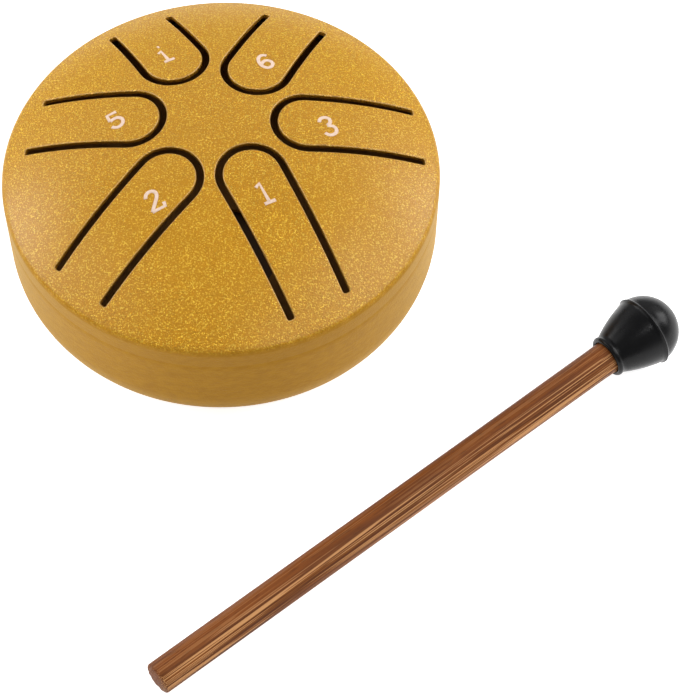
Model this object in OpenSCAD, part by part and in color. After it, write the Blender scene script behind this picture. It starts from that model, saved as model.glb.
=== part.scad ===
// Small steel tongue drum with its mallet.
// The drum is a domed top shell welded to a drawn bowl. Six tongues are cut from the dome by U-shaped
// slots, and each bends about its root. The mallet is a bamboo stick in a moulded rubber head.
// Millimetres, +Z up. The origin is on the drum's axis, at the surface that the feet stand on.

/* [Steel body] */
// Outside diameter of the drum at its top edge
drum_d = 80; // [76:0.5:90]
// Height of the steel body, from its flat underside to the middle of the dome
body_h = 36; // [33:0.5:45]
// Thickness of the steel sheet
sheet_t = 1; // [0.6:0.1:1.1]
// Radius of the middle of the dome, seen in section
crown_r = 100; // [85:1:130]
// Radius of the steeper shoulder of the dome, seen in section
shoulder_r = 66; // [60:1:75]
// Distance from the drum's axis at which the shoulder begins
shoulder_start = 18; // [12:0.5:22]
// Outside rounding where the dome turns down into the side
rim_round = 1.4; // [1.2:0.1:2.4]
// Depth of the dome's turned-down lip, below the rounding
lip_h = 3.2; // [2:0.1:5]
// How much less the side's radius is at its bottom than at its top
side_inset = 0.5; // [0:0.1:1]
// Outside radius of the bowl's bottom corner
corner_r = 12; // [8:0.5:13]
// Diameter of the sound hole in the underside
sound_hole_d = 20; // [14:0.5:26]
// Radius of the weld bead inside the seam of the two shells
bead_r = 0.8; // [0.5:0.1:1.2]

/* [Tongues] */
// Width of each tongue between its slots, at its tip
tongue_w = 10.65; // [9:0.05:10.9]
// Width of each tongue between its slots, at its root
tongue_root_w = 10.05; // [8.5:0.05:10.9]
// Width of the slots
slot_w = 1.35; // [0.9:0.05:1.5]
// Sideways place of the point that all the tongues aim at, from the drum's axis
fan_x = 0.5; // [-1:0.1:1]
// Backward place of the point that all the tongues aim at, from the drum's axis
fan_y = 4; // [3:0.1:5]
// Direction of the tongue of note 1
note_1_angle = -64; // [-65:0.5:-62]
// Distance from the fan point to the middle of the slot at the tip of note 1
note_1_tip = 6.5; // [6.5:0.1:9]
// Distance from the ends of the slots of note 1 in to the drum's outside
note_1_margin = 3.7; // [2.5:0.1:6]
// Direction of the tongue of note 2
note_2_angle = 229.5; // [228:0.5:231]
// Distance from the fan point to the middle of the slot at the tip of note 2
note_2_tip = 9.2; // [9:0.1:11]
// Distance from the ends of the slots of note 2 in to the drum's outside
note_2_margin = 3.3; // [2.5:0.1:6]
// Direction of the tongue of note 3
note_3_angle = 3.5; // [1:0.5:5]
// Distance from the fan point to the middle of the slot at the tip of note 3
note_3_tip = 9.5; // [9.3:0.1:12]
// Distance from the ends of the slots of note 3 in to the drum's outside
note_3_margin = 2.7; // [2.5:0.1:6]
// Direction of the tongue of note 5
note_5_angle = 171; // [169:0.5:173]
// Distance from the fan point to the middle of the slot at the tip of note 5
note_5_tip = 10.9; // [10.5:0.1:13]
// Distance from the ends of the slots of note 5 in to the drum's outside
note_5_margin = 4.1; // [2.5:0.1:6]
// Direction of the tongue of note 6
note_6_angle = 65; // [63:0.5:66]
// Distance from the fan point to the middle of the slot at the tip of note 6
note_6_tip = 9; // [8.8:0.1:11]
// Distance from the ends of the slots of note 6 in to the drum's outside
note_6_margin = 3.9; // [2.5:0.1:6]
// Direction of the tongue of the high note 1
high_1_angle = 118.5; // [117:0.5:120]
// Distance from the fan point to the middle of the slot at the tip of the high note 1
high_1_tip = 12.9; // [12.5:0.1:15]
// Distance from the ends of the slots of the high note 1 in to the drum's outside
high_1_margin = 3.5; // [2.5:0.1:6]

/* [Feet] */
// Diameter of each rubber foot
foot_d = 8; // [6:0.5:9]
// Height of the rubber of each foot
foot_h = 1.8; // [1.2:0.1:3]
// Rounding round the lower edge of each foot
foot_round = 0.6; // [0.2:0.1:1]
// Thickness of the adhesive disc above each foot
adhesive_t = 0.2; // [0.1:0.05:0.4]
// Distance from the feet out to the edge of the flat underside
foot_inset = 1.5; // [0.5:0.1:3]

/* [Mallet] */
// Diameter of the bamboo stick
stick_d = 6.15; // [5:0.05:7]
// Length of the stick that shows behind the head
stick_free = 103.6; // [80:1:140]
// Chamfer round the stick's tail end
stick_chamfer = 0.4; // [0.1:0.1:0.8]
// Depth of the head's socket
socket_depth = 8.5; // [6:0.1:11]
// Length of the rubber head
head_len = 15.6; // [14:0.1:20]
// Diameter of the ball that ends the head
ball_d = 13.2; // [12:0.1:15]
// Diameter of the head's lip, round the socket's mouth
head_lip_d = 8.1; // [7.8:0.1:9.5]
// Rounding of the head's lip
lip_round = 0.6; // [0.3:0.1:0.8]
// Radius of the bulge of the head's skirt, seen in section
skirt_r = 30; // [20:1:60]
// Diameter of the mould line that stands out round the head
mould_rim_d = 13.9; // [13.6:0.1:15.6]
// Thickness of the mould line
mould_rim_t = 0.6; // [0.4:0.1:1]
// Direction that the mallet points in as it lies beside the drum
mallet_angle = 37.8; // [0:0.1:60]
// Distance from the drum's outside to the mallet's axis
mallet_gap = 24.7; // [10:0.1:60]
// How far the mallet's tail end lies back from the middle of the drum
mallet_back = 65.5; // [40:0.5:100]

/* [Fits] */
// Hairline that parts each tongue from the shell at its root, so that it is free to bend
root_gap = 0.03; // [0.02:0.01:0.05]
// Glue line between the stick and its socket
glue_gap = 0.05; // [0.02:0.01:0.1]

/* [Hidden] */
$fn = 256;
// Overrun of every cut past the face that it leaves
over = 1;

// Heights of the body above the surface that the drum stands on
base_z = foot_h + adhesive_t;
apex_z = base_z + body_h;

// The dome in section is the crown arc, the shoulder arc tangent to it, and the rim's rounding
rim_r = drum_d / 2;
crown_z = apex_z - crown_r;
shoulder_angle = asin(shoulder_start / crown_r);
shoulder_x = (crown_r - shoulder_r) * sin(shoulder_angle);
shoulder_z = crown_z + (crown_r - shoulder_r) * cos(shoulder_angle);
rim_x = rim_r - rim_round;
rim_z = shoulder_z + sqrt(pow(shoulder_r - rim_round, 2) - pow(rim_x - shoulder_x, 2));
rim_angle = atan2(rim_x - shoulder_x, rim_z - shoulder_z);

// The side runs in a little from the rim's rounding to the bottom corner
bowl_r = rim_r - side_inset;
corner_x = bowl_r - corner_r;
corner_z = base_z + corner_r;
seam_z = rim_z - lip_h;
function side_r(z) = bowl_r + side_inset * (z - corner_z) / (rim_z - corner_z);

// Tongues: half widths at the tip, how much less they are at the root, and the slot's middle line there
inner_w = tongue_w / 2;
middle_w = (tongue_w + slot_w) / 2;
outer_w = tongue_w / 2 + slot_w;
taper_w = (tongue_w - tongue_root_w) / 2;
root_middle_w = middle_w - taper_w;
// Distance from the fan point to where a slot ends, along a line that runs beside the tongue's axis
function reach(angle, side, margin) =
    let (along = fan_x * cos(angle) + fan_y * sin(angle))
    let (aside = fan_y * cos(angle) - fan_x * sin(angle) + side)
    sqrt(pow(rim_r - margin, 2) - aside * aside) - along;

foot_ring_r = corner_x - foot_inset - foot_d / 2;
foot_angle = 45;

// Mallet: it leans a little, because its head is thicker than its stick
ball_s = head_len - ball_d / 2;
head_contact = stick_free + ball_s - stick_chamfer;
lean = atan((mould_rim_d - stick_d) / 2 / head_contact);
tail_z = stick_d / 2 * cos(lean) - stick_chamfer * sin(lean);
stick_len = stick_free + socket_depth - glue_gap;
// The skirt's arc starts on the lip and ends under the mould line, which begins at the ball's middle
skirt_start = [head_lip_d / 2 - lip_round / 2, lip_round];
skirt_end = [(ball_d + mould_rim_d) / 4, ball_s];
skirt_chord = skirt_end - skirt_start;
skirt_middle = (skirt_start + skirt_end) / 2;
skirt_side = [-skirt_chord[1], skirt_chord[0]] / norm(skirt_chord);
skirt_centre = skirt_middle + skirt_side * sqrt(pow(skirt_r, 2) - pow(norm(skirt_chord) / 2, 2));

// Half section of the space under the dome's skin, down to a given height
module dome_section(inset, low_z) {
    crown_end = (crown_r - inset) * sin(shoulder_angle);
    shoulder_end = shoulder_x + (shoulder_r - inset) * sin(rim_angle);
    intersection() {
        translate([0, crown_z]) circle(r = crown_r - inset);
        translate([0, low_z]) square([crown_end, apex_z - low_z]);
    }
    intersection() {
        translate([shoulder_x, shoulder_z]) circle(r = shoulder_r - inset);
        translate([crown_end, low_z]) square([shoulder_end - crown_end, apex_z - low_z]);
    }
    intersection() {
        translate([rim_x, rim_z]) circle(r = rim_round - inset);
        translate([shoulder_end, rim_z]) square(rim_round);
    }
    polygon([
        [shoulder_end, low_z],
        [side_r(low_z) - inset, low_z],
        [rim_r - inset, rim_z],
        [shoulder_end, rim_z]
    ]);
}

// Half section of the space inside the bowl's skin, up to a given height
module bowl_section(inset, high_z) {
    translate([0, base_z + inset]) square([corner_x, corner_r - inset]);
    intersection() {
        translate([corner_x, corner_z]) circle(r = corner_r - inset);
        translate([corner_x, base_z]) square(corner_r);
    }
    polygon([
        [0, corner_z],
        [bowl_r - inset, corner_z],
        [side_r(high_z) - inset, high_z],
        [0, high_z]
    ]);
}

module dome_sheet() {
    rotate_extrude() difference() {
        dome_section(0, seam_z);
        dome_section(sheet_t, seam_z - over);
    }
}

// Plan of a shape that follows the tongue: round at the tip, a little narrower at the root, and cut off there
module tongue_plan(angle, tip, margin, half_w, back) {
    right_end = reach(angle, -root_middle_w, margin) - back;
    left_end = reach(angle, root_middle_w, margin) - back;
    root_half_w = half_w - taper_w;
    translate([fan_x, fan_y]) rotate(angle) {
        translate([tip + middle_w, 0]) circle(r = half_w);
        polygon([
            [tip + middle_w, -half_w],
            [right_end, -root_half_w],
            [right_end, taper_w - inner_w],
            [left_end, inner_w - taper_w],
            [left_end, root_half_w],
            [tip + middle_w, half_w]
        ]);
    }
}

module through_dome() {
    translate([0, 0, seam_z]) linear_extrude(apex_z - seam_z + over) children();
}

module tongue(angle, tip, margin) {
    color("goldenrod") intersection() {
        dome_sheet();
        through_dome() tongue_plan(angle, tip, margin, inner_w, root_gap);
    }
}

module top_shell() {
    color("goldenrod") difference() {
        dome_sheet();
        through_dome() {
            tongue_plan(note_1_angle, note_1_tip, note_1_margin, outer_w, 0);
            tongue_plan(note_2_angle, note_2_tip, note_2_margin, outer_w, 0);
            tongue_plan(note_3_angle, note_3_tip, note_3_margin, outer_w, 0);
            tongue_plan(note_5_angle, note_5_tip, note_5_margin, outer_w, 0);
            tongue_plan(note_6_angle, note_6_tip, note_6_margin, outer_w, 0);
            tongue_plan(high_1_angle, high_1_tip, high_1_margin, outer_w, 0);
        }
    }
}

module bottom_bowl() {
    color("darkgoldenrod") difference() {
        rotate_extrude() difference() {
            bowl_section(0, seam_z);
            bowl_section(sheet_t, seam_z + over);
        }
        translate([0, 0, base_z - over]) cylinder(h = sheet_t + 2 * over, d = sound_hole_d);
    }
}

// Bead of weld metal on the inside of the seam. The outside of the seam is ground flush.
module seam_weld() {
    inside_r = side_r(seam_z) - sheet_t;
    color("dimgray") rotate_extrude() intersection() {
        translate([inside_r, seam_z]) circle(r = bead_r);
        polygon([
            [inside_r - 2 * bead_r, seam_z - bead_r],
            [side_r(seam_z - bead_r) - sheet_t, seam_z - bead_r],
            [side_r(seam_z + bead_r) - sheet_t, seam_z + bead_r],
            [inside_r - 2 * bead_r, seam_z + bead_r]
        ]);
    }
}

module on_foot_ring(quarter) {
    rotate(foot_angle + 90 * quarter) translate([foot_ring_r, 0, 0]) rotate(-foot_angle - 90 * quarter)
        children();
}

module foot(quarter) {
    foot_r = foot_d / 2;
    color("dimgray") on_foot_ring(quarter) rotate_extrude() {
        square([foot_r - foot_round, foot_h]);
        translate([0, foot_round]) square([foot_r, foot_h - foot_round]);
        intersection() {
            translate([foot_r - foot_round, foot_round]) circle(r = foot_round);
            translate([foot_r - foot_round, 0]) square(foot_round);
        }
    }
}

module foot_adhesives() {
    color("white") for (quarter = [0 : 3])
        on_foot_ring(quarter) translate([0, 0, foot_h]) cylinder(h = adhesive_t, d = foot_d);
}

// Stands what points along +Z on its tail and lays it down where the mallet lies
module as_mallet() {
    rotate(mallet_angle) translate([-mallet_back, -rim_r - mallet_gap, tail_z])
        rotate([0, 90 - lean, 0]) children();
}

module mallet_stick() {
    color("saddlebrown") as_mallet() {
        cylinder(h = stick_chamfer, d1 = stick_d - 2 * stick_chamfer, d2 = stick_d);
        translate([0, 0, stick_chamfer]) cylinder(h = stick_len - stick_chamfer, d = stick_d);
    }
}

module mallet_head() {
    color("black") as_mallet() translate([0, 0, stick_free]) difference() {
        rotate_extrude() {
            translate([head_lip_d / 2 - lip_round, lip_round]) circle(r = lip_round);
            square([head_lip_d / 2 - lip_round, lip_round]);
            intersection() {
                translate(skirt_centre) circle(r = skirt_r);
                translate([0, lip_round]) square([ball_d, ball_s - lip_round]);
            }
            intersection() {
                translate([0, ball_s]) circle(d = ball_d);
                translate([0, ball_s]) square(ball_d);
            }
            translate([0, ball_s]) square([mould_rim_d / 2, mould_rim_t]);
        }
        translate([0, 0, -over]) cylinder(h = socket_depth + over, d = stick_d + 2 * glue_gap);
    }
}

top_shell();
tongue(note_1_angle, note_1_tip, note_1_margin);  // tongue_1
tongue(note_2_angle, note_2_tip, note_2_margin);  // tongue_2
tongue(note_3_angle, note_3_tip, note_3_margin);  // tongue_3
tongue(note_5_angle, note_5_tip, note_5_margin);  // tongue_5
tongue(note_6_angle, note_6_tip, note_6_margin);  // tongue_6
tongue(high_1_angle, high_1_tip, high_1_margin);  // tongue_high_1
bottom_bowl();
seam_weld();
foot_adhesives();
foot(3);  // foot_front_right
foot(2);  // foot_front_left
foot(1);  // foot_back_left
foot(0);  // foot_back_right
mallet_stick();
mallet_head();
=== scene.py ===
# %% [markdown]
# # A small steel tongue drum and its mallet
#
# The drum is two pressed steel shells with a gold powder coat. Six tongues are cut from the dome, and each
# one sounds a note. The frame gives every solid its true size and place, so this lesson only gives the
# pieces their real surfaces: rounded coated edges, printed numerals, bamboo fibre and moulded rubber.

# %% Load the frame
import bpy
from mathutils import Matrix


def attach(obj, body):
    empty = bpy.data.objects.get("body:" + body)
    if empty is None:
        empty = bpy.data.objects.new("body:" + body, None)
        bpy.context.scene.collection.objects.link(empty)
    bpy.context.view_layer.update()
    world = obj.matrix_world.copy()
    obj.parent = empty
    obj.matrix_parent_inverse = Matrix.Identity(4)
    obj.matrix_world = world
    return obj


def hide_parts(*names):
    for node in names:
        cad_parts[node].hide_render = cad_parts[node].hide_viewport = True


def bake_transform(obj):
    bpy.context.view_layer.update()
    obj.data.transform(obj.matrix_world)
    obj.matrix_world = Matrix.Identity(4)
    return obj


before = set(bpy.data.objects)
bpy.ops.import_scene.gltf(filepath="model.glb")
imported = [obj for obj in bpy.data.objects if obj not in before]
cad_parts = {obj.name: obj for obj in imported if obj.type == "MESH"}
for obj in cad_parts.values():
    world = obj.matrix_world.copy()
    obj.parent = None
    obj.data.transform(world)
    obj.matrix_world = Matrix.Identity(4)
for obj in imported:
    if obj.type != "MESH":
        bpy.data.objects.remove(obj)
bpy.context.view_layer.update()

# %% Imports
import math

import bmesh
import bpy
from mathutils import Matrix, Vector, noise

print("Blender", bpy.app.version_string)

# %% [markdown]
# ## Sizes
#
# A maker works from a drawing. These are the drawing's sizes in millimetres, the same ones that the
# solids were cut to. Everything is modelled in millimetres and brought to metres at the very end, because
# Blender's operators are easier to read with whole numbers.

# %% The drawing's sizes
MM = 0.001
UP = Vector((0, 0, 1))
DRUM_R = 40.0
SHEET = 1.0
BASE_Z, APEX_Z = 2.0, 38.0
CROWN_R, SHOULDER_R, SHOULDER_START = 100.0, 66.0, 18.0
RIM_ROUND, LIP, SIDE_INSET, CORNER_R = 1.4, 3.2, 0.5, 12.0
TONGUE_W, ROOT_W, SLOT_W = 10.65, 10.05, 1.35
FAN = Vector((0.5, 4.0, 0))
# Each note has the direction of its tongue in degrees, the distance of its tip from the fan point, and the
# distance of its root from the rim.
NOTES = {
    "1": (-64, 6.5, 3.7), "2": (229.5, 9.2, 3.3), "3": (3.5, 9.5, 2.7),
    "5": (171, 10.9, 4.1), "6": (65, 9.0, 3.9), "high_1": (118.5, 12.9, 3.5),
}
print("Notes:", ", ".join(NOTES))

# %% Where the arcs of the dome meet
shoulder_angle = math.asin(SHOULDER_START / CROWN_R)
shoulder_x = (CROWN_R - SHOULDER_R) * math.sin(shoulder_angle)
shoulder_z = APEX_Z - CROWN_R + (CROWN_R - SHOULDER_R) * math.cos(shoulder_angle)
rim_x = DRUM_R - RIM_ROUND
rim_z = shoulder_z + math.sqrt((SHOULDER_R - RIM_ROUND) ** 2 - (rim_x - shoulder_x) ** 2)
rim_angle = math.atan2(rim_x - shoulder_x, rim_z - shoulder_z)
seam_z = rim_z - LIP
corner_z = BASE_Z + CORNER_R
lean_in = math.atan(SIDE_INSET / (rim_z - corner_z))
bend_start = shoulder_x + SHOULDER_R * math.sin(rim_angle)
bend_end = bend_start + RIM_ROUND * (math.pi / 2 - rim_angle)
blank_r = bend_end + LIP / math.cos(lean_in)
print(f"Crease at {rim_z:.2f} mm, seam at {seam_z:.2f} mm, blank {2 * blank_r:.1f} mm across")

# %% [markdown]
# ## Camera
#
# The photograph looks down at about 56 degrees through a long lens, so parallel edges barely converge. The
# camera is set from its place, its aim and its focal length in the frame's own coordinates.

# %% Camera
FOCAL_LENGTH, SENSOR_WIDTH = 208.78, 36
CAMERA_PLACE = Vector((21.13, -435.77, 619.55))
right = Vector((0.99982, -0.0157, -0.01054))
up = Vector((0.01891, 0.83009, 0.5573))
forward = Vector((0.0, 0.5574, -0.83024))
camera_data = bpy.data.cameras.new("camera")
camera_data.lens, camera_data.sensor_width = FOCAL_LENGTH, SENSOR_WIDTH
camera = bpy.data.objects.new("camera", camera_data)
bpy.context.scene.collection.objects.link(camera)
turn = Matrix((right, up, -forward)).transposed().to_4x4()
camera.matrix_world = Matrix.Translation(CAMERA_PLACE * MM) @ turn
camera_data.clip_start, camera_data.clip_end = 0.05, 50
bpy.context.scene.camera = camera
print("Camera at", tuple(round(c, 3) for c in camera.location))

# %% [markdown]
# ## Small tools
#
# A finished piece needs the same few steps each time: recalculate normals, scale to metres, give it a
# material, let it ride on its body. One helper does them, so that no piece is left half done.

# %% Finish a mesh as a piece
def piece_from(bm, name, material, body=None, instead_of=()):
    bmesh.ops.recalc_face_normals(bm, faces=bm.faces[:])
    bmesh.ops.scale(bm, vec=(MM, MM, MM), verts=bm.verts[:])
    mesh = bpy.data.meshes.new(name)
    bm.to_mesh(mesh)
    bm.free()
    for face in mesh.polygons:
        face.use_smooth = True
    mesh.materials.append(material)
    piece = bpy.data.objects.new(name, mesh)
    bpy.context.scene.collection.objects.link(piece)
    if instead_of:
        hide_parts(*instead_of)
    if body:
        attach(piece, body)
    print(f"{name}: {len(mesh.polygons)} faces")
    return piece


print("Ready to finish pieces")

# %% Draw an outline with one vertex
def line_to(bm, vert, x, z, y=0.0):
    new = bmesh.ops.extrude_vert_indiv(bm, verts=[vert])["verts"][0]
    new.co = (x, y, z)
    return new


def arc_to(bm, vert, centre, degrees, steps, axis=(0, 1, 0)):
    swept = bmesh.ops.spin(
        bm, geom=[vert], cent=centre, axis=axis, angle=math.radians(degrees), steps=steps
    )
    return [v for v in swept["geom_last"] if isinstance(v, bmesh.types.BMVert)][0]


def turned(bm, steps):
    bmesh.ops.spin(
        bm, geom=bm.verts[:] + bm.edges[:], cent=(0, 0, 0), axis=UP,
        angle=math.tau, steps=steps, use_merge=True,
    )
    bmesh.ops.remove_doubles(bm, verts=bm.verts[:], dist=0.0005)


print("Ready to draw outlines")

# %% [markdown]
# ## Shader groups
#
# Paint, rubber and bamboo are all made of small noises. The powder coat is a node group that only puts out
# numbers, so that another material can use it with other values. The helpers in the next cell add one node
# each, so that a material reads like a list of steps.

# %% Node helpers
def new_group(name, inputs, outputs):
    group = bpy.data.node_groups.new(name, "ShaderNodeTree")
    for title, kind, value in inputs:
        socket = group.interface.new_socket(title, in_out="INPUT", socket_type=kind)
        if value is not None:
            socket.default_value = value
    for title, kind in outputs:
        group.interface.new_socket(title, in_out="OUTPUT", socket_type=kind)
    return group, group.nodes.new("NodeGroupInput"), group.nodes.new("NodeGroupOutput")


def add(tree, kind, links=None, **values):
    node = tree.nodes.new(kind)
    for key, value in values.items():
        setattr(node, key, value)
    for socket, source in (links or {}).items():
        target = node.inputs[socket]
        if isinstance(source, bpy.types.NodeSocket):
            tree.links.new(source, target)
        else:
            target.default_value = source
    return node


def math_node(tree, operation, a, b=None, clamp=False):
    links = {0: a} if b is None else {0: a, 1: b}
    return add(tree, "ShaderNodeMath", links, operation=operation, use_clamp=clamp).outputs[0]


def product(tree, a, b):
    return math_node(tree, "MULTIPLY", a, b)


def vector_node(tree, operation, a, b):
    return add(tree, "ShaderNodeVectorMath", {0: a, 1: b}, operation=operation).outputs[0]


def part_of(tree, vector, axis):
    return add(tree, "ShaderNodeSeparateXYZ", {"Vector": vector}).outputs[axis]


def mix_colour(tree, factor, a, b):
    node = add(tree, "ShaderNodeMix", data_type="RGBA")
    for name, source in (("Factor_Float", factor), ("A_Color", a), ("B_Color", b)):
        target = next(s for s in node.inputs if s.identifier == name)
        if isinstance(source, bpy.types.NodeSocket):
            tree.links.new(source, target)
        else:
            target.default_value = source
    return next(s for s in node.outputs if s.identifier == "Result_Color")


def ramp(tree, value, low, high, to_low=0.0, to_high=1.0, smooth=True):
    links = {"Value": value, "From Min": low, "From Max": high, "To Min": to_low, "To Max": to_high}
    kind = "SMOOTHSTEP" if smooth else "LINEAR"
    return add(tree, "ShaderNodeMapRange", links, interpolation_type=kind).outputs["Result"]


def noise_value(tree, vector, scale, detail, rough):
    links = {"Vector": vector, "Scale": scale, "Detail": detail, "Roughness": rough}
    return add(tree, "ShaderNodeTexNoise", links).outputs["Fac"]


print("Node helpers ready")

# %% [markdown]
# ### Powder coat
#
# The gold coat is metal flake in a baked powder. It cures with a fine pebbled skin, and single flakes
# catch the light. The pebbles are a fine noise with smooth Voronoi cells taken off it. The flecks are a
# second noise, read at another place so that they don't sit only on the tops of the pebbles, and a much
# slower noise gives the cloudy mottling of the coat.

# %% Powder coat group
GRAIN_SCALE, MOTTLE_SCALE = 3800.0, 520.0
ELSEWHERE = (0.31, 0.17, 0.43)
coat_group, coat_in, coat_out = new_group(
    "powder_coat",
    [("Vector", "NodeSocketVector", None), ("Pebble Scale", "NodeSocketFloat", 2200.0),
     ("Fleck Scale", "NodeSocketFloat", 3300.0)],
    [("Height", "NodeSocketFloat"), ("Flecks", "NodeSocketFloat"), ("Mottle", "NodeSocketFloat")],
)
coat_at = coat_in.outputs["Vector"]
links = {"Vector": coat_at, "Scale": coat_in.outputs["Pebble Scale"], "Smoothness": 0.6}
cells = add(coat_group, "ShaderNodeTexVoronoi", links, feature="SMOOTH_F1").outputs["Distance"]
grain = noise_value(coat_group, coat_at, GRAIN_SCALE, 2.0, 0.5)
other_place = vector_node(coat_group, "ADD", coat_at, ELSEWHERE)
flake = noise_value(coat_group, other_place, coat_in.outputs["Fleck Scale"], 2.0, 0.5)
flecks = ramp(coat_group, flake, 0.52, 0.62)
mottle = noise_value(coat_group, coat_at, MOTTLE_SCALE, 3.0, 0.6)
pebbles = math_node(coat_group, "SUBTRACT", grain, product(coat_group, cells, 0.45))
height = math_node(coat_group, "ADD", pebbles, product(coat_group, mottle, 0.4))
coat_group.links.new(height, coat_out.inputs["Height"])
coat_group.links.new(flecks, coat_out.inputs["Flecks"])
coat_group.links.new(mottle, coat_out.inputs["Mottle"])
print("Group:", coat_group.name)


# %% Start a material
def new_material(name, **constants):
    material = bpy.data.materials.new(name)
    material.use_nodes = True
    tree = material.node_tree
    shader = tree.nodes["Principled BSDF"]
    for socket, value in constants.items():
        shader.inputs[socket.replace("_", " ")].default_value = value
    place = add(tree, "ShaderNodeTexCoord").outputs["Object"]
    return material, tree, shader, place


def bump(tree, shader, height, distance, strength=1.0):
    links = {"Height": height, "Distance": distance, "Strength": strength}
    node = add(tree, "ShaderNodeBump", links)
    tree.links.new(node.outputs["Normal"], shader.inputs["Normal"])


print("Ready to start materials")

# %% [markdown]
# ### Gold coat
#
# The same coat covers the dome and the side. The dome is pebbly and sparkles: its flecks are smooth metal,
# and the ground between them is duller and less metallic, under a clear lacquer that adds a pale haze. The
# side is smoother, softly mottled and darker, partly as its own coat and partly as painted shade, with a
# slightly greyer band between the seam and the crease, and has little lacquer. A mask made from the height
# of each point changes one into the other above the crease.
#
# A second number, stored on the vertices, is the depth under the outer face. By it the rolled edge of a cut
# gets a pale line of painted highlight, the cut wall a plain coat darkened in part by painted shade, and
# the inside bare steel dusted with overspray.

# %% Colours of the gold coat
GROUND = (0.51, 0.230, 0.002, 1)
FLECK = (0.70, 0.44, 0.042, 1)
CLOUD = (0.53, 0.260, 0.005, 1)
# The side's colours are darker than the dome's, partly as its own coat and partly as painted shade.
SIDE_DARK = (0.322, 0.146, 0.005, 1)
SIDE_LIGHT = (0.376, 0.182, 0.008, 1)
SEAM_GREY = (0.345, 0.168, 0.018, 1)
# A pale line of painted highlight along the rolled edge of every cut.
PAINTED_EDGE_HIGHLIGHT = (0.68, 0.44, 0.16, 1)
# The cut wall's coat, darker in part as painted shade.
CUT_WALL_COAT_AND_SHADE = (0.34, 0.15, 0.010, 1)
DUSTED_STEEL = (0.30, 0.145, 0.045, 1)
HIGHLIGHT_TINT = (1.0, 0.92, 0.36, 1)
# In mm: the ends of the dome's mask above the crease, how ragged it is, and half the fade of the grey band.
MASK_LOW, MASK_HIGH, RAGGED, BAND_FADE = 0.1, 1.7, 1.2, 0.8
print("The side changes into the dome over", round(MASK_HIGH - MASK_LOW, 1), "mm")


# %% Gold coat material
def gold_coat(name):
    material, tree, shader, place = new_material(
        name, Coat_Roughness=0.35, Specular_IOR_Level=0.1, Specular_Tint=HIGHLIGHT_TINT
    )
    coat = add(tree, "ShaderNodeGroup", node_tree=coat_group)
    tree.links.new(place, coat.inputs["Vector"])
    z = part_of(tree, place, "Z")
    ragged = math_node(tree, "MULTIPLY_ADD", coat.outputs["Mottle"], RAGGED * MM)
    ragged.node.inputs[2].default_value = -RAGGED / 2 * MM
    ragged_z = math_node(tree, "ADD", z, ragged)
    dome = ramp(tree, ragged_z, (rim_z + MASK_LOW) * MM, (rim_z + MASK_HIGH) * MM)
    band = ramp(tree, z, (seam_z - BAND_FADE) * MM, (seam_z + BAND_FADE) * MM)
    wider_than_high = vector_node(tree, "MULTIPLY", place, (500, 500, 1300))
    clouds = noise_value(tree, wider_than_high, 1.0, 3.0, 0.6)
    flecked = mix_colour(tree, coat.outputs["Flecks"], GROUND, FLECK)
    mottled = mix_colour(tree, ramp(tree, coat.outputs["Mottle"], 0.3, 0.7, 0.0, 0.3), flecked, CLOUD)
    # The side's darker colours are partly painted shade.
    side = mix_colour(tree, ramp(tree, clouds, 0.3, 0.7), SIDE_DARK, SIDE_LIGHT)
    side = mix_colour(tree, product(tree, band, 0.35), side, SEAM_GREY)
    colour = mix_colour(tree, dome, side, mottled)
    depth = add(tree, "ShaderNodeAttribute", attribute_name="depth").outputs["Fac"]
    # Painted highlight: a pale line where the edge of a cut rolls over.
    edge = product(tree, ramp(tree, depth, 0.0, 0.05), ramp(tree, depth, 0.20, 0.09))
    colour = mix_colour(tree, product(tree, edge, 0.6), colour, PAINTED_EDGE_HIGHLIGHT)
    # Painted shade in part: the coat darkens down the rolled edge and the cut wall.
    colour = mix_colour(tree, ramp(tree, depth, 0.15, 0.35), colour, CUT_WALL_COAT_AND_SHADE)
    bare = ramp(tree, depth, 0.75, 1.0)
    colour = mix_colour(tree, bare, colour, DUSTED_STEEL)
    tree.links.new(colour, shader.inputs["Base Color"])
    haze = math_node(tree, "SUBTRACT", ramp(tree, dome, 0.0, 1.0, 0.20, 0.68), bare, clamp=True)
    tree.links.new(haze, shader.inputs["Coat Weight"])
    shine = product(tree, coat.outputs["Flecks"], dome)
    tree.links.new(ramp(tree, shine, 0.0, 1.0, 0.56, 0.30), shader.inputs["Roughness"])
    metal = math_node(tree, "SUBTRACT", ramp(tree, shine, 0.0, 1.0, 0.62, 1.0), bare, clamp=True)
    tree.links.new(metal, shader.inputs["Metallic"])
    height = product(tree, coat.outputs["Height"], ramp(tree, dome, 0.0, 1.0, 0.2, 1.0))
    bump(tree, shader, height, 0.00036)
    return material


coat_gold = gold_coat("gold_powder_coat")
print("Material:", coat_gold.name)

# %% [markdown]
# ## The dome
#
# The real dome starts as a flat steel blank. A laser cuts six U-shaped slots, and a press gives it the dome
# and turns its edge down. It is modelled in the same order: the flat face with its slots is filled and
# scored into small cells, the cut edges are rolled over as the coat rounds them, the back is mirrored on,
# and a formula presses it.

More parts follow.
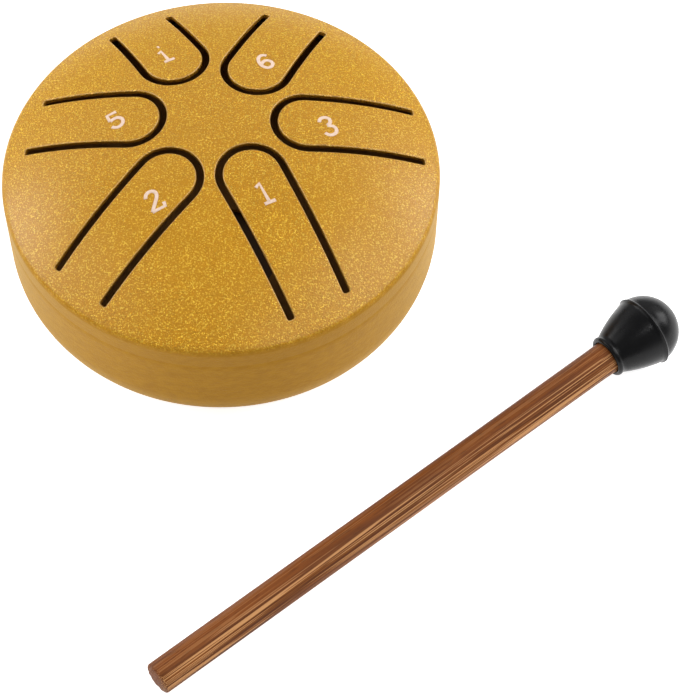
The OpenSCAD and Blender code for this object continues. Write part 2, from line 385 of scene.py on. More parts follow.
# %% Press a flat point into the dome
def pressed(flat):
    """Gives a flat point's pressed place, and the ways out from the axis, down the slope and up there."""
    rho = math.hypot(flat.x, flat.y)
    out = Vector((flat.x, flat.y, 0)) / rho if rho > 1e-6 else Vector((1, 0, 0))
    if rho <= SHOULDER_START:
        lean = math.asin(rho / CROWN_R)
        place = out * rho + UP * (APEX_Z - CROWN_R + CROWN_R * math.cos(lean))
    elif rho <= bend_start:
        lean = math.asin((rho - shoulder_x) / SHOULDER_R)
        place = out * rho + UP * (shoulder_z + SHOULDER_R * math.cos(lean))
    elif rho <= bend_end:
        lean = rim_angle + (rho - bend_start) / RIM_ROUND
        place = out * (rim_x + RIM_ROUND * math.sin(lean)) + UP * (rim_z + RIM_ROUND * math.cos(lean))
    else:
        lean, run = math.pi / 2 + lean_in, rho - bend_end
        place = out * (DRUM_R - run * math.sin(lean_in)) + UP * (rim_z - run * math.cos(lean_in))
    normal = out * math.sin(lean) + UP * math.cos(lean)
    along = out * math.cos(lean) - UP * math.sin(lean)
    return place - normal * (SHEET / 2 - flat.z), out, along, normal


print("Middle goes to", tuple(round(c, 2) for c in pressed(Vector((0, 0, SHEET / 2)))[0]))

# %% Outline each slot on the blank
EDGE_ROUND, SLOT_CORNER, TIP_STEPS = 0.3, 0.7, 36
inner_w = TONGUE_W / 2
middle_w = inner_w + SLOT_W / 2
outer_w = inner_w + SLOT_W
taper = (TONGUE_W - ROOT_W) / 2


def reach(angle, side, margin):
    a = math.radians(angle)
    along = FAN.x * math.cos(a) + FAN.y * math.sin(a)
    aside = FAN.y * math.cos(a) - FAN.x * math.sin(a) + side
    return math.sqrt((DRUM_R - margin) ** 2 - aside ** 2) - along


def slot_outline(bm, angle, tip, margin):
    before = set(bm.verts)
    right_end = reach(angle, taper - middle_w, margin) + EDGE_ROUND
    left_end = reach(angle, middle_w - taper, margin) + EDGE_ROUND
    ends = []
    for half in (outer_w + EDGE_ROUND, inner_w - EDGE_ROUND):
        first = bm.verts.new((right_end, taper - half, 0))
        vert = line_to(bm, first, tip + middle_w, 0, y=-half)
        vert = arc_to(bm, vert, (tip + middle_w, 0, 0), -180, TIP_STEPS, axis=UP)
        last = line_to(bm, vert, left_end, 0, y=half - taper)
        ends.append((first, last))
    for a, b in zip(*ends):
        bm.edges.new((a, b))
    corners = [*ends[0], *ends[1]]
    bmesh.ops.bevel(bm, geom=corners, offset=SLOT_CORNER, segments=5, profile=0.5, affect="VERTICES")
    drawn = [v for v in bm.verts if v not in before]
    turn = Matrix.Rotation(math.radians(angle), 3, "Z")
    bmesh.ops.rotate(bm, cent=(0, 0, 0), matrix=turn, verts=drawn)
    bmesh.ops.translate(bm, vec=FAN, verts=drawn)


print("Slot runs", round(middle_w, 2), "mm from the middle of its tongue")

# %% Draw and fill the blank
blank = bmesh.new()
flat_normal = blank.verts.layers.float_vector.new("flat_normal")
depth = blank.verts.layers.float.new("depth")
bmesh.ops.create_circle(blank, segments=256, radius=bend_start)
for angle, tip, margin in NOTES.values():
    slot_outline(blank, angle, tip, margin)
bmesh.ops.remove_doubles(blank, verts=blank.verts[:], dist=0.01)
bmesh.ops.triangle_fill(blank, use_beauty=True, edges=blank.edges[:], normal=UP)
area = sum(f.calc_area() for f in blank.faces)
print("Blank filled:", len(blank.faces), "faces, area", round(area, 1), "mm2")

# %% Score the face into small cells
PITCH, ASIDE = 1.5, 0.02
lines = int(bend_start / PITCH)
for axis in (Vector((1, 0, 0)), Vector((0, 1, 0))):
    for k in range(-lines, lines + 1):
        everything = blank.verts[:] + blank.edges[:] + blank.faces[:]
        bmesh.ops.bisect_plane(
            blank, geom=everything, dist=0.0001, plane_co=axis * (k * PITCH + ASIDE), plane_no=axis
        )
bmesh.ops.remove_doubles(blank, verts=blank.verts[:], dist=0.03)
bmesh.ops.recalc_face_normals(blank, faces=blank.faces[:])
for vert in blank.verts:
    vert.co.z = SHEET / 2
    vert[flat_normal] = UP
print("Scored:", len(blank.faces), "faces")


# %% Tools to roll an edge over
def away_from_metal(edges):
    ways = {}
    for edge in edges:
        a, b = edge.verts
        side = Vector((b.co.y - a.co.y, a.co.x - b.co.x, 0)).normalized()
        if side.dot((a.co + b.co) / 2 - edge.link_faces[0].calc_center_median()) < 0:
            side.negate()
        for vert in (a, b):
            ways.setdefault(vert, []).append(side)
    return {v: (v.co.copy(), sum(s, Vector()) / (1 + s[0].dot(s[-1]))) for v, s in ways.items()}


def next_ring(bm, edges, ring, place, normal):
    """Extrudes the edges once. The functions place and normal say where each new vertex goes and faces."""
    grown = bmesh.ops.extrude_edge_only(bm, edges=edges)["geom"]
    new = [g for g in grown if isinstance(g, bmesh.types.BMVert)]
    moved = {}
    for vert in new:
        old = next(e.other_vert(vert) for e in vert.link_edges if e.other_vert(vert) in ring)
        start, way = ring[old]
        vert.co = place(start, way)
        vert[flat_normal] = normal(start, way)
        moved[vert] = (start, way)
    new_edges = [g for g in grown if isinstance(g, bmesh.types.BMEdge)]
    return [e for e in new_edges if all(v in moved for v in e.verts)], moved


def roll_over(bm, edges, ring, radius, steps):
    for k in range(1, steps + 1):
        s, c = math.sin(math.pi / 2 * k / steps), math.cos(math.pi / 2 * k / steps)
        edges, ring = next_ring(
            bm, edges, ring,
            lambda start, way: start + way * radius * s - UP * radius * (1 - c),
            lambda start, way: way.normalized() * s + UP * c,
        )
    return next_ring(
        bm, edges, ring,
        lambda start, way: Vector((start.x + way.x * radius, start.y + way.y * radius, 0)),
        lambda start, way: way.normalized(),
    )


print("Ready to roll edges over")

# %% Roll the cut edges over
ROLL_STEPS = 5
open_edges = [e for e in blank.edges if e.is_boundary]
rim_edges = [e for e in open_edges if min(v.co.xy.length for v in e.verts) > bend_start - 0.05]
slot_edges = [e for e in open_edges if e not in set(rim_edges)]
rim_ring = {v: (v.co.copy(), v.co.xy.to_3d().normalized()) for e in rim_edges for v in e.verts}
roll_over(blank, slot_edges, away_from_metal(slot_edges), EDGE_ROUND, ROLL_STEPS)
print("Slot edges rolled:", len(slot_edges), "rim edges:", len(rim_edges))

# %% Grow the rim and the lip
BEND_RINGS, LIP_RINGS, LIP_EDGE = 9, 4, 0.02
radii = [bend_start + (bend_end - bend_start) * k / BEND_RINGS for k in range(1, BEND_RINGS + 1)]
radii += [bend_end + (blank_r - LIP_EDGE - bend_end) * k / LIP_RINGS for k in range(1, LIP_RINGS + 1)]
edges, ring = rim_edges, rim_ring
for rho in radii:
    edges, ring = next_ring(
        blank, edges, ring, lambda start, way: way * rho + UP * SHEET / 2, lambda start, way: UP
    )
ring = {v: (v.co.copy(), way) for v, (start, way) in ring.items()}
roll_over(blank, edges, ring, LIP_EDGE, 2)
bmesh.ops.mirror(blank, geom=blank.verts[:] + blank.edges[:] + blank.faces[:], merge_dist=0.001, axis="Z")
for vert in blank.verts:
    if vert.co.z < -1e-6:
        vert[flat_normal].z = -abs(vert[flat_normal].z)
    vert[depth] = SHEET / 2 - vert.co.z
bmesh.ops.recalc_face_normals(blank, faces=blank.faces[:])
print("Whole blank:", len(blank.faces), "faces, open edges:", sum(e.is_boundary for e in blank.edges))

# %% [markdown]
# ### Part the tongues
#
# Each tongue is a piece of its own, so the blank is parted at the roots. The cut is straight across,
# just inside the ends of the slots, and both sides of it keep the same rounded normals, so no seam shows.

# %% Cut across each root
ROOT_STEP, PAST_ROOT = 0.35, 4


def in_tongue(place, angle, tip, root):
    local = Matrix.Rotation(math.radians(-angle), 3, "Z") @ (place.xy.to_3d() - FAN)
    if abs(local.y) > middle_w or (local - root).x > PAST_ROOT:
        return False
    return local.x > tip + middle_w or (local - Vector((tip + middle_w, 0, 0))).length < middle_w


part = blank.faces.layers.int.new("part")
roots = {}
for number, (note, (angle, tip, margin)) in enumerate(NOTES.items(), 1):
    a = Vector((reach(angle, taper - middle_w, margin), taper - inner_w, 0))
    b = Vector((reach(angle, middle_w - taper, margin), inner_w - taper, 0))
    spin_out = Matrix.Rotation(math.radians(angle), 3, "Z")
    across = (b - a).normalized()
    inward = Vector((-across.y, across.x, 0))
    inward = inward if inward.x < 0 else -inward
    middle = (a + b) / 2
    inside = [f for f in blank.faces if in_tongue(f.calc_center_median(), angle, tip, middle)]
    geom = {e for f in inside for e in f.edges} | {v for f in inside for v in f.verts} | set(inside)
    cut_at = FAN + spin_out @ (middle + inward * ROOT_STEP)
    cut_way = spin_out @ inward
    bmesh.ops.bisect_plane(blank, geom=list(geom), dist=0.0001, plane_co=cut_at, plane_no=cut_way)
    for face in blank.faces:
        centre = face.calc_center_median()
        if (centre.xy.to_3d() - cut_at).dot(cut_way) > 0 and in_tongue(centre, angle, tip, middle):
            face[part] = number
    tip_point = FAN + spin_out @ Vector((tip + SLOT_W / 2, 0, 0))
    roots[note] = (FAN + spin_out @ middle, tip_point)
bmesh.ops.triangulate(blank, faces=[f for f in blank.faces if len(f.verts) > 4])
print("Faces in tongues:", sum(1 for f in blank.faces if f[part]))


# %% Press the parts
def press_part(number, name, material, instead_of):
    bm = blank.copy()
    layer, normal_layer = bm.faces.layers.int["part"], bm.verts.layers.float_vector["flat_normal"]
    bmesh.ops.delete(bm, geom=[f for f in bm.faces if f[layer] != number], context="FACES")
    cut = [e for e in bm.edges if e.is_boundary]
    bmesh.ops.holes_fill(bm, edges=cut, sides=0)
    bmesh.ops.recalc_face_normals(bm, faces=bm.faces[:])
    normals = []
    for vert in bm.verts:
        place, out, along, normal = pressed(vert.co)
        flat = Vector(vert[normal_layer])
        aside = flat.dot(UP.cross(out))
        normals.append(out.dot(flat) * along + aside * UP.cross(out) + flat.z * normal)
        vert.co = place
    open_left = sum(e.is_boundary for e in bm.edges)
    piece = piece_from(bm, name, material, instead_of=instead_of)
    piece.data.normals_split_custom_set_from_vertices([n.normalized() for n in normals])
    print("  open edges:", open_left)
    return piece


dome = press_part(0, "dome_shell", coat_gold, ["top_shell"])
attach(dome, "drum")
for number, note in enumerate(NOTES, 1):
    tongue = press_part(number, f"note_tongue_{note}", coat_gold, [f"tongue_{note}"])
    root, tip_point = roots[note]
    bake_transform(tongue)
blank.free()

# %% [markdown]
# ## Numerals
#
# The note numbers are printed in white after coating. Each is drawn as a few strokes with a curve, given a
# body by the curve's bevel, flattened to the thickness of ink and laid on the dome. A stroke of two or
# three points keeps its corners, and a longer one is a smooth curve. The high 1 has a dot, which is a very
# short stroke.

# %% Strokes of each numeral
NUMERAL_TURN, STROKE, INK = 26, 0.68, 0.05
NUMERALS = {
    "1": ((8.2, -11.1), [
        [(-1.05, 1.55), (-0.1, 2.1), (-0.05, -2.05)],
        [(-1.05, -2.08), (1.15, -2.08)]]),
    "high_1": ((-10.2, 22.3), [
        [(-0.8, 0.85), (-0.1, 1.25), (0.05, -1.9)],
        [(-0.85, -1.93), (1.2, -1.93)],
        [(-0.18, 2.72), (0.0, 2.75), (0.2, 2.78)]]),
    "2": ((-11.6, -12.2), [
        [(-1.15, 1.2), (-0.9, 1.9), (-0.1, 2.25), (0.75, 2.0),
         (1.05, 1.3), (0.75, 0.5), (-0.2, -0.6), (-1.25, -1.85)],
        [(-1.25, -1.85), (1.3, -1.85), (1.4, -0.95)]]),
    "3": ((19.8, 4.35), [
        [(-1.2, 1.35), (-0.85, 1.95), (-0.05, 2.2), (0.75, 1.85), (0.95, 1.2), (0.6, 0.5), (-0.15, 0.2)],
        [(-0.15, 0.2), (0.75, -0.1), (1.15, -0.85), (0.85, -1.7),
         (-0.1, -2.1), (-0.95, -1.85), (-1.25, -1.2)]]),
    "5": ((-19.0, 6.6), [
        [(1.05, 1.75), (-0.8, 1.75), (-0.85, 0.15)],
        [(-0.85, 0.15), (0.05, 0.5), (0.95, 0.2), (1.35, -0.65),
         (1.0, -1.5), (0.1, -1.95), (-0.75, -1.7), (-1.1, -1.15)]]),
    "6": ((8.4, 19.6), [
        [(0.95, 1.45), (0.45, 1.9), (-0.35, 1.8), (-0.95, 1.1), (-1.2, 0.0), (-0.95, -1.1), (-0.3, -1.75),
         (0.5, -1.7), (1.1, -1.05), (1.05, -0.25), (0.4, 0.3), (-0.4, 0.2), (-1.0, -0.45)]]),
}
print("Numerals:", ", ".join(NUMERALS))


# %% White print
def white_print():
    material, tree, shader, place = new_material("white_print", Roughness=0.55)
    worn = noise_value(tree, place, 2600.0, 2.0, 0.6)
    shade = mix_colour(tree, ramp(tree, worn, 0.35, 0.7), (0.72, 0.52, 0.40, 1), (0.78, 0.60, 0.49, 1))
    tree.links.new(shade, shader.inputs["Base Color"])
    bump(tree, shader, worn, 0.00003)
    return material


ink_white = white_print()
print("Material:", ink_white.name)

# %% Print the numerals
LONGEST_EDGE = 0.6
numeral_turn = Matrix.Rotation(math.radians(NUMERAL_TURN), 3, "Z")
for note, (centre, strokes) in NUMERALS.items():
    curve = bpy.data.curves.new("numeral", "CURVE")
    curve.dimensions, curve.bevel_depth, curve.bevel_resolution = "3D", STROKE / 2, 3
    curve.use_fill_caps, curve.resolution_u = True, 6
    for stroke in strokes:
        straight = len(stroke) < 4
        spline = curve.splines.new("POLY" if straight else "NURBS")
        spline.points.add(len(stroke) - 1)
        for point, (x, y) in zip(spline.points, stroke):
            point.co = (x, y, 0, 1)
        if not straight:
            spline.use_endpoint_u, spline.order_u = True, 3
    drawn = bpy.data.objects.new("numeral_drawing", curve)
    mesh = bpy.data.meshes.new_from_object(drawn)
    bpy.data.objects.remove(drawn)
    bm = bmesh.new()
    bm.from_mesh(mesh)
    bpy.data.meshes.remove(mesh)
    bmesh.ops.remove_doubles(bm, verts=bm.verts[:], dist=0.002)
    bmesh.ops.scale(bm, vec=(1, 1, INK / STROKE * 2), verts=bm.verts[:])
    long_edges = [e for e in bm.edges if e.calc_length() > LONGEST_EDGE]
    bmesh.ops.subdivide_edges(bm, edges=long_edges, cuts=4, use_grid_fill=True)
    bmesh.ops.rotate(bm, cent=(0, 0, 0), matrix=numeral_turn, verts=bm.verts[:])
    for vert in bm.verts:
        flat = Vector((centre[0] + vert.co.x, centre[1] + vert.co.y, SHEET / 2 + vert.co.z))
        vert.co = pressed(flat)[0]
    numeral = piece_from(bm, f"numeral_{note}", ink_white)
    root, tip_point = roots[note]
    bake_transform(numeral)

# %% [markdown]
# ## The bowl
#
# The lower shell is a deep-drawn cup with a soft corner and a round hole in its flat bottom. A drawn cup is
# a turned shape, so its wall is drawn once in section, with arcs swept by the spin operator, and spun round
# the axis.

# %% Bowl
bowl_r = DRUM_R - SIDE_INSET
corner_x = bowl_r - CORNER_R
HOLE_R, HOLE_EDGE, SEAM_EDGE = 10.0, 0.35, 0.02
WALL_RINGS, CORNER_STEPS, HOLE_STEPS, SPIN_STEPS = 6, 18, 4, 256
FLAT_RINGS = (22, 16)


def side_r(z):
    return bowl_r + SIDE_INSET * (z - corner_z) / (rim_z - corner_z)


bm = bmesh.new()
seam_r = side_r(seam_z)
first = bm.verts.new((seam_r - SHEET + SEAM_EDGE, 0, seam_z))
vert = line_to(bm, first, seam_r - SEAM_EDGE, seam_z)
vert = arc_to(bm, vert, (seam_r - SEAM_EDGE, 0, seam_z - SEAM_EDGE), 90, 3)
for k in range(1, WALL_RINGS + 1):
    z = seam_z - SEAM_EDGE + (corner_z - seam_z + SEAM_EDGE) * k / WALL_RINGS
    vert = line_to(bm, vert, side_r(z), z)
vert = arc_to(bm, vert, (corner_x, 0, corner_z), 90, CORNER_STEPS)
for x in (*FLAT_RINGS, HOLE_R + HOLE_EDGE):
    vert = line_to(bm, vert, x, BASE_Z)
vert = arc_to(bm, vert, (HOLE_R + HOLE_EDGE, 0, BASE_Z + HOLE_EDGE), 90, HOLE_STEPS)
vert = line_to(bm, vert, HOLE_R, BASE_Z + SHEET - HOLE_EDGE)
vert = arc_to(bm, vert, (HOLE_R + HOLE_EDGE, 0, BASE_Z + SHEET - HOLE_EDGE), 90, HOLE_STEPS)
for x in (*reversed(FLAT_RINGS), corner_x):
    vert = line_to(bm, vert, x, BASE_Z + SHEET)
vert = arc_to(bm, vert, (corner_x, 0, corner_z), -90, CORNER_STEPS)
for k in range(1, WALL_RINGS + 1):
    z = corner_z + (seam_z - SEAM_EDGE - corner_z) * k / WALL_RINGS
    vert = line_to(bm, vert, side_r(z) - SHEET, z)
bm.edges.new((vert, first))
turned(bm, SPIN_STEPS)
print("Bowl open edges:", sum(e.is_boundary for e in bm.edges))

# %% Depth under the bowl's outer face
depth = bm.verts.layers.float.new("depth")
for vert in bm.verts:
    rho, z = vert.co.xy.length, vert.co.z
    if z >= corner_z:
        vert[depth] = side_r(z) - rho
    elif rho > corner_x:
        vert[depth] = CORNER_R - math.hypot(rho - corner_x, z - corner_z)
    else:
        vert[depth] = z - BASE_Z
bowl = piece_from(bm, "drawn_bowl", coat_gold, "drum", ["bottom_bowl"])
print("Bowl size, mm:", [round(d / MM, 2) for d in bowl.dimensions])

# %% [markdown]
# ## The mallet's head
#
# The head is moulded rubber: a ball, a thin flash where the two halves of the mould met, a skirt that
# tapers back and a rolled lip round the stick. It is turned from a section too. A slow noise then pushes
# the flash in a little, here more and there less, because a real one is torn off by hand.

# %% Place the mallet
STICK_R, STICK_FREE, CHAMFER, SOCKET = 3.075, 103.6, 0.4, 8.5
HEAD_LEN, BALL_R, LIP_R, LIP_ROUND, SKIRT_R = 15.6, 6.6, 4.05, 0.6, 30.0
FLASH_R, MALLET_TURN, MALLET_BACK, MALLET_GAP = 6.95, 37.8, 65.5, 24.7
ball_s = HEAD_LEN - BALL_R
lean = math.atan((FLASH_R - STICK_R) / (STICK_FREE + ball_s - CHAMFER))
tail_z = STICK_R * math.cos(lean) - CHAMFER * math.sin(lean)
laid = (
    Matrix.Rotation(math.radians(MALLET_TURN), 4, "Z")
    @ Matrix.Translation((-MALLET_BACK, -DRUM_R - MALLET_GAP, tail_z))
    @ Matrix.Rotation(math.pi / 2 - lean, 4, "Y")
)
print("Mallet leans", round(math.degrees(lean), 2), "degrees")


# %% Rubber
def black_rubber(name, pores):
    material, tree, shader, place = new_material(name, Specular_IOR_Level=0.16)
    soft = noise_value(tree, place, 220.0, 3.0, 0.6)
    fine = noise_value(tree, place, 3200.0, 2.0, 0.6)
    specks = add(tree, "ShaderNodeTexVoronoi", {"Vector": place, "Scale": 700.0})
    chosen = add(tree, "ShaderNodeSeparateColor", {"Color": specks.outputs["Color"]}).outputs["Green"]
    near = ramp(tree, specks.outputs["Distance"], 0.16, 0.06)
    dust = product(tree, near, math_node(tree, "GREATER_THAN", chosen, 0.93))
    black = mix_colour(tree, soft, (0.0015, 0.0015, 0.0018, 1), (0.004, 0.004, 0.0045, 1))
    tree.links.new(mix_colour(tree, dust, black, (0.10, 0.10, 0.10, 1)), shader.inputs["Base Color"])
    tree.links.new(ramp(tree, soft, 0.3, 0.7, 0.22, 0.36), shader.inputs["Roughness"])
    both = math_node(tree, "ADD", product(tree, fine, pores), soft)
    bump(tree, shader, both, 0.00008, 0.6)
    return material


head_rubber = black_rubber("moulded_rubber", 0.25)
foot_rubber = black_rubber("foot_rubber", 0.6)
print("Rubbers:", head_rubber.name, "and", foot_rubber.name)

# %% Arc of the skirt
start = Vector((LIP_R - LIP_ROUND / 2, LIP_ROUND))
end = Vector(((BALL_R + FLASH_R) / 2, ball_s))
chord = end - start
across = Vector((-chord.y, chord.x)).normalized()
centre = (start + end) / 2 + across * math.sqrt(SKIRT_R ** 2 - (chord.length / 2) ** 2)
sweep = math.degrees(2 * math.asin(chord.length / 2 / SKIRT_R))
print("The skirt sweeps through", round(sweep, 1), "degrees")

# %% Head
BORE_R, BORE_CHAMFER, POLISHED_R = STICK_R + 0.02, 0.25, BALL_R - 0.01
SKIRT_OUT, SKIRT_UP, SKIRT_SHARE = 0.12, 0.55, 0.93
FLASH_FOOT, BALL_FROM = 0.42, 0.6
FLASH_MIDDLE, FLASH_HALF, FLASH_WEAR = 0.15, 0.2, 0.05
bm = bmesh.new()
first = bm.verts.new((BORE_R, 0, SOCKET))
vert = line_to(bm, first, BORE_R, BORE_CHAMFER)
vert = line_to(bm, vert, LIP_R - LIP_ROUND, 0)
vert = arc_to(bm, vert, (LIP_R - LIP_ROUND, 0, LIP_ROUND), -125, 8)
skirt = bm.verts.new((start.x + SKIRT_OUT, 0, start.y + SKIRT_UP))
bm.edges.new((vert, skirt))
vert = arc_to(bm, skirt, (centre.x, 0, centre.y), -sweep * SKIRT_SHARE, 14)
for short, above in ((0.12, 0.02), (0, 0.12), (0.08, 0.24)):
    vert = line_to(bm, vert, FLASH_R - short, ball_s + above)
vert = line_to(bm, vert, math.sqrt(BALL_R ** 2 - FLASH_FOOT ** 2) + 0.03, ball_s + FLASH_FOOT)
at = math.degrees(math.asin(BALL_FROM / POLISHED_R))
ball_start = bm.verts.new((POLISHED_R * math.cos(math.radians(at)), 0, ball_s + BALL_FROM))
bm.edges.new((vert, ball_start))
vert = arc_to(bm, ball_start, (0, 0, ball_s), -(90 - at), 22)
line_to(bm, first, 0, SOCKET)
print("Pole at", tuple(round(c, 3) for c in vert.co))
turned(bm, 160)
for vert in bm.verts:
    out = vert.co.xy.to_3d()
    if out.length > BALL_R and abs(vert.co.z - ball_s - FLASH_MIDDLE) < FLASH_HALF:
        vert.co -= out.normalized() * FLASH_WEAR * (1 + noise.noise(vert.co * 0.6))
bmesh.ops.transform(bm, matrix=laid @ Matrix.Translation((0, 0, STICK_FREE)), verts=bm.verts[:])
print("Head open edges:", sum(e.is_boundary for e in bm.edges))
piece_from(bm, "rubber_head", head_rubber, "mallet", ["mallet_head"])

# %% [markdown]
# ## The bamboo stick
#
# The stick is a bamboo dowel, stained brown. Its fibres run its whole length, some darker and some paler
# than the stain, which lies unevenly in blotches and small specks. The fibres are thickest and plainest on
# the front, which is also a little lighter, and stand out in low relief. Every pattern is a noise on
# coordinates that are squeezed along the stick, so that it changes quickly around it and slowly along it.
#
# The dowel isn't quite round either. The same kind of noise pushes each lengthwise line of it in a little,
# and another one roughens its sawn end.

# %% Bamboo
STAIN_DARK = (0.150, 0.038, 0.007, 1)
STAIN_LIGHT = (0.215, 0.062, 0.011, 1)
BLOTCH = (0.080, 0.022, 0.008, 1)
SPECK = (0.060, 0.016, 0.006, 1)
FRONT_TONE = (0.34, 0.130, 0.036, 1)
DARK_FIBRE = (0.055, 0.015, 0.005, 1)
PALE_FIBRE = (0.66, 0.33, 0.13, 1)


def stained_bamboo():
    material, tree, shader, place = new_material("stained_bamboo", Specular_IOR_Level=0.15)
    links = {"Vector": place, "Location": laid.translation * MM, "Rotation": laid.to_euler()}
    local = add(tree, "ShaderNodeMapping", links, vector_type="TEXTURE").outputs[0]
    fibre_at = vector_node(tree, "MULTIPLY", local, (1, 1, 0.006))
    coarse = noise_value(tree, fibre_at, 1200.0, 2.0, 0.5)
    fine = noise_value(tree, fibre_at, 5200.0, 0.0, 0.6)
    cloud_at = vector_node(tree, "MULTIPLY", local, (260, 260, 34))
    blotch = ramp(tree, noise_value(tree, cloud_at, 1.0, 3.0, 0.6), 0.48, 0.66)
    base = mix_colour(tree, ramp(tree, coarse, 0.28, 0.72), STAIN_DARK, STAIN_LIGHT)
    base = mix_colour(tree, product(tree, blotch, 0.55), base, BLOTCH)
    speck_at = vector_node(tree, "MULTIPLY", local, (1, 1, 0.12))
    specks = ramp(tree, noise_value(tree, speck_at, 2600.0, 2.0, 0.6), 0.54, 0.66)
    base = mix_colour(tree, product(tree, specks, 0.5), base, SPECK)
    # The front of the stick is lighter and has the plainest fibres.
    front_side = ramp(tree, part_of(tree, local, "Y"), -0.2 * MM, -2.0 * MM, 0.18, 1.0)
    base = mix_colour(tree, product(tree, front_side, 0.28), base, FRONT_TONE)
    dark = product(tree, ramp(tree, fine, 0.53, 0.58), front_side)
    light = product(tree, ramp(tree, fine, 0.43, 0.39), front_side)
    base = mix_colour(tree, product(tree, dark, 0.7), base, DARK_FIBRE)
    base = mix_colour(tree, product(tree, light, 0.9), base, PALE_FIBRE)
    tree.links.new(base, shader.inputs["Base Color"])
    tree.links.new(ramp(tree, coarse, 0.3, 0.7, 0.60, 0.45), shader.inputs["Roughness"])
    raised = math_node(tree, "ADD", fine, product(tree, coarse, 0.4))
    bump(tree, shader, raised, 0.0001, 0.7)
    return material


bamboo = stained_bamboo()
print("Material:", bamboo.name)

# %% Stick
GLUE_ROOM, RINGS, AROUND = 0.05, 60, 180
SUNK, GROOVES, FLATS, SAW_MARKS = 0.05, 0.045, 0.05, 0.12
STICK_LEN = STICK_FREE + SOCKET - GLUE_ROOM
bm = bmesh.new()
start = bm.verts.new((STICK_R - CHAMFER, 0, 0))
vert = line_to(bm, start, STICK_R - 0.12, 0.18)
vert = line_to(bm, vert, STICK_R, CHAMFER)
for k in range(1, RINGS + 1):
    vert = line_to(bm, vert, STICK_R, CHAMFER + (STICK_LEN - CHAMFER) * k / RINGS)
line_to(bm, vert, 0, STICK_LEN)
line_to(bm, start, 0, 0)
turned(bm, AROUND)
for vert in bm.verts:
    out = vert.co.xy.to_3d()
    if out.length > STICK_R - CHAMFER - 0.05:
        around = out.normalized()
        free = min(1.0, max(0.0, (STICK_FREE - 0.6 - vert.co.z) / 2))
        fibre = noise.noise(Vector((around.x * 9, around.y * 9, vert.co.z * 0.02)))
        flat = noise.noise(Vector((around.x * 1.5 + 7, around.y * 1.5, vert.co.z * 0.03)))
        vert.co -= around * free * (SUNK + GROOVES * fibre + FLATS * flat)
    if vert.co.z < CHAMFER + 0.01:
        vert.co.z += SAW_MARKS * (1 + noise.noise(vert.co * 1.3))
bmesh.ops.transform(bm, matrix=laid, verts=bm.verts[:])
print("Stick open edges:", sum(e.is_boundary for e in bm.edges))
piece_from(bm, "bamboo_stick", bamboo, "mallet", ["mallet_stick"])

# %% [markdown]
# ## Weld, feet and adhesive
#
# These have the right shape already, so they keep their CAD meshes and only get their finish: a weld bead
# stained by heat, black rubber feet with more pores than the head, and a cloudy film of adhesive over each.


# %% Finishes for the CAD nodes
def weld_metal():
    material, tree, shader, place = new_material("weld_metal", Metallic=0.9)
    ripple = noise_value(tree, place, 900.0, 3.0, 0.6)
    heat = noise_value(tree, place, 160.0, 2.0, 0.5)
    tint = mix_colour(tree, ramp(tree, heat, 0.35, 0.65), (0.10, 0.085, 0.07, 1), (0.24, 0.20, 0.16, 1))
    tree.links.new(tint, shader.inputs["Base Color"])
    tree.links.new(ramp(tree, ripple, 0.3, 0.7, 0.35, 0.6), shader.inputs["Roughness"])
    bump(tree, shader, ripple, 0.0002)
    return material


def adhesive_film():
    material, tree, shader, place = new_material("adhesive_film", Roughness=0.4)
    cloud = noise_value(tree, place, 700.0, 2.0, 0.5)
    milky = mix_colour(tree, cloud, (0.62, 0.61, 0.56, 1), (0.78, 0.77, 0.72, 1))
    tree.links.new(milky, shader.inputs["Base Color"])
    bump(tree, shader, cloud, 0.00005)
    return material


finishes = {"seam_weld": weld_metal(), "foot_adhesives": adhesive_film()}
for name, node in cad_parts.items():
    is_foot = name.startswith("foot_") and name != "foot_adhesives"
    finish = foot_rubber if is_foot else finishes.get(name)
    if finish:
        node.data.materials.clear()
        node.data.materials.append(finish)
        print(name, "->", finish.name)

# %% [markdown]
# ## Studio
#
# A white floor under soft boxes, as in a product photograph. They stand behind, at both sides and above,
# and one small lamp in front, like a window, makes the flecks sparkle.
#
# The photograph was cut out on pure white, so the floor glows white to the camera, and keeps only a soft
# shadow. In reflections it glows more to the sides of the drum than before and behind it. Under the middle
# of the drum, where it is only seen through the sound hole, it is painted a dull brown as shade and doesn't
# glow, because hardly any light gets there.

# %% Floor
FLOOR_HALF = 6000
BROWN_TO, WHITE_FROM, GLOW_FROM, GLOW_FULL = 16, 24, 24, 34
floor_mesh = bpy.data.meshes.new("floor")
bm = bmesh.new()
bmesh.ops.create_grid(bm, x_segments=1, y_segments=1, size=FLOOR_HALF * MM)
bm.to_mesh(floor_mesh)
bm.free()
floor = bpy.data.objects.new("floor", floor_mesh)
bpy.context.scene.collection.objects.link(floor)
print("Floor:", floor.name)

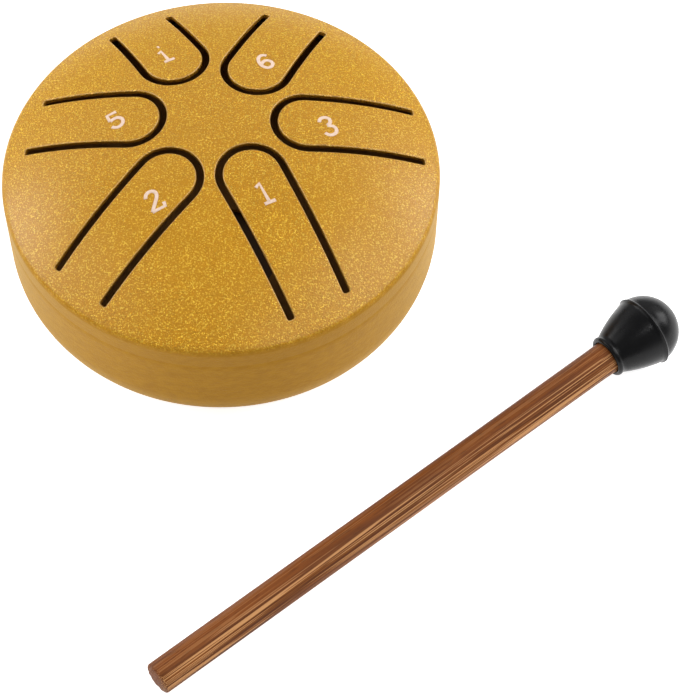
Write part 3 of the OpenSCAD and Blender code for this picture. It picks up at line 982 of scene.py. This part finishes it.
# %% Floor material
floor_material, tree, shader, place = new_material(
    "white_floor", Roughness=0.8, Specular_IOR_Level=0.0, Emission_Color=(1, 1, 1, 1)
)
rays = add(tree, "ShaderNodeLightPath").outputs
from_drum = add(tree, "ShaderNodeVectorMath", {0: place}, operation="LENGTH").outputs["Value"]
across = math_node(tree, "ABSOLUTE", part_of(tree, place, "X"))
sideways = ramp(tree, math_node(tree, "DIVIDE", across, from_drum), 0.1, 0.8, 0.62, 1.3)
reflected = product(tree, rays["Is Glossy Ray"], sideways)
other_rays = math_node(tree, "MAXIMUM", reflected, rays["Is Transmission Ray"])
seen = math_node(tree, "MAXIMUM", rays["Is Camera Ray"], other_rays)
glow = product(tree, seen, ramp(tree, from_drum, GLOW_FROM * MM, GLOW_FULL * MM, 0.0, 0.85))
tree.links.new(glow, shader.inputs["Emission Strength"])
# Painted shade: the floor is a dull brown under the middle of the drum and white outside.
outside = ramp(tree, from_drum, BROWN_TO * MM, WHITE_FROM * MM)
shaded = mix_colour(tree, outside, (0.16, 0.10, 0.06, 1), (0.86, 0.86, 0.86, 1))
tree.links.new(shaded, shader.inputs["Base Color"])
floor_mesh.materials.append(floor_material)
print("Material:", floor_material.name)

# %% World
WORLD_FILL, WORLD_SEEN = 0.42, 1.0
world = bpy.data.worlds.new("studio")
bpy.context.scene.world = world
world.use_nodes = True
tree = world.node_tree
background = tree.nodes["Background"]
camera_ray = add(tree, "ShaderNodeLightPath").outputs["Is Camera Ray"]
strength = ramp(tree, camera_ray, 0.0, 1.0, WORLD_FILL, WORLD_SEEN, smooth=False)
tree.links.new(strength, background.inputs["Strength"])
background.inputs["Color"].default_value = (1, 1, 1, 1)
print("World:", world.name)

# %% Lamps
AIM = Vector((0.01, -0.02, 0.02))


def softbox(name, place, size, watts):
    lamp = bpy.data.lights.new(name, "AREA")
    lamp.shape, lamp.size, lamp.energy = "SQUARE", size, watts
    box = bpy.data.objects.new(name, lamp)
    box.location = place
    box.rotation_mode = "QUATERNION"
    box.rotation_quaternion = (AIM - Vector(place)).to_track_quat("-Z", "Y")
    bpy.context.scene.collection.objects.link(box)


# Places and sizes are in metres here, and the power is in watts.
softbox("behind", (-0.05, 0.90, 0.85), 1.0, 1.7)
softbox("left", (-0.80, 0.25, 0.45), 0.45, 4.1)
softbox("left_behind", (-0.68, 0.61, 0.60), 0.6, 0.9)
softbox("left_above", (-0.65, -0.10, 0.85), 0.5, 1.2)
softbox("right", (0.80, 0.30, 0.45), 0.45, 3.7)
softbox("right_behind", (0.68, 0.61, 0.60), 0.6, 1.2)
softbox("right_above", (0.65, -0.10, 0.85), 0.5, 2.7)
softbox("window", (0.28, -0.42, 0.90), 0.10, 0.6)
bpy.context.scene.view_settings.view_transform = "Standard"
